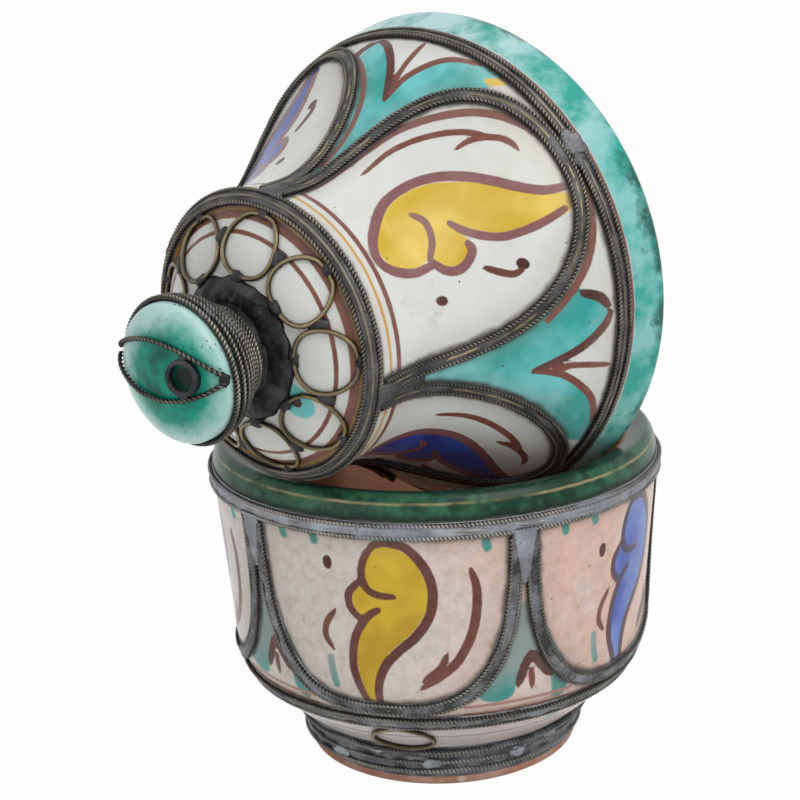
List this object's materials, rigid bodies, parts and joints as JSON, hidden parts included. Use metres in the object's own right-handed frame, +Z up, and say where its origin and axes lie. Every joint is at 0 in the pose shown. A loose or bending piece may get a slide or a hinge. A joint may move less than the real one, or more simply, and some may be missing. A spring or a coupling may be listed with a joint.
{
  "type": "lidded decorative bowl",
  "caption": "Footed earthenware bowl with a bell-shaped lid lying tilted across its lip, both glazed, painted with leaves and bound in twisted-wire filigree with petal frames and rings.",
  "frame": {"origin": "centre of the flat foot, on the table", "axes": "+Z up along the bowl's axis, -Y to the front of the picture"},
  "size_m": [0.1428, 0.1514, 0.2089],
  "materials": {
    "glaze": "glossy tin glaze, painted in turquoise, yellow, cobalt and brown",
    "cord": "tarnished white-metal twisted wire, dark in the hollows",
    "ring_wire": "tarnished brass-toned plain wire",
    "solder": "rough grey solder"
  },
  "bodies": {
    "bowl": {"bowl_body": "glaze", "bowl_petal_1_inner_cord": "cord", "bowl_petal_1_outer_cord": "cord", "bowl_petal_1_ridge_wire": "cord", "bowl_petal_2_inner_cord": "cord", "bowl_petal_2_outer_cord": "cord", "bowl_petal_2_ridge_wire": "cord", "bowl_petal_3_inner_cord": "cord", "bowl_petal_3_outer_cord": "cord", "bowl_petal_3_ridge_wire": "cord", "bowl_petal_4_inner_cord": "cord", "bowl_petal_4_outer_cord": "cord", "bowl_petal_4_ridge_wire": "cord", "bowl_petal_5_inner_cord": "cord", "bowl_petal_5_outer_cord": "cord", "bowl_petal_5_ridge_wire": "cord", "bowl_rim_lower_cord": "cord", "bowl_rim_ridge_wire": "cord", "bowl_rim_upper_cord": "cord", "foot_ring": "ring_wire", "foot_winding": "cord", "waist_lower_cord": "cord", "waist_ridge_wire": "cord", "waist_upper_cord": "cord"},
    "lid": {"knob_eye_lower_cord": "cord", "knob_eye_ring": "solder", "knob_eye_upper_cord": "cord", "knob_solder_collar": "solder", "knob_winding": "cord", "lid_body": "glaze", "lid_petal_1_inner_cord": "cord", "lid_petal_1_outer_cord": "cord", "lid_petal_1_ridge_wire": "cord", "lid_petal_2_inner_cord": "cord", "lid_petal_2_outer_cord": "cord", "lid_petal_2_ridge_wire": "cord", "lid_petal_3_inner_cord": "cord", "lid_petal_3_outer_cord": "cord", "lid_petal_3_ridge_wire": "cord", "lid_petal_4_inner_cord": "cord", "lid_petal_4_outer_cord": "cord", "lid_petal_4_ridge_wire": "cord", "lid_petal_5_inner_cord": "cord", "lid_petal_5_outer_cord": "cord", "lid_petal_5_ridge_wire": "cord", "lid_rim_lower_cord": "cord", "lid_rim_ridge_wire": "cord", "lid_rim_upper_cord": "cord", "lid_shoulder_lower_cord": "cord", "lid_shoulder_ridge_wire": "cord", "lid_shoulder_upper_cord": "cord", "lid_top_ring_1": "ring_wire", "lid_top_ring_2": "ring_wire", "lid_top_ring_3": "ring_wire", "lid_top_ring_4": "ring_wire", "lid_top_ring_5": "ring_wire", "lid_top_ring_6": "ring_wire", "lid_top_ring_7": "ring_wire", "lid_top_ring_8": "ring_wire", "lid_top_ring_9": "ring_wire"}
  },
  "joints": [
    {"name": "lid_lift", "type": "slide", "parent": "bowl", "child": "lid", "axis": [0, 0, 1], "range_m": [0, 0.12]}
  ]
}
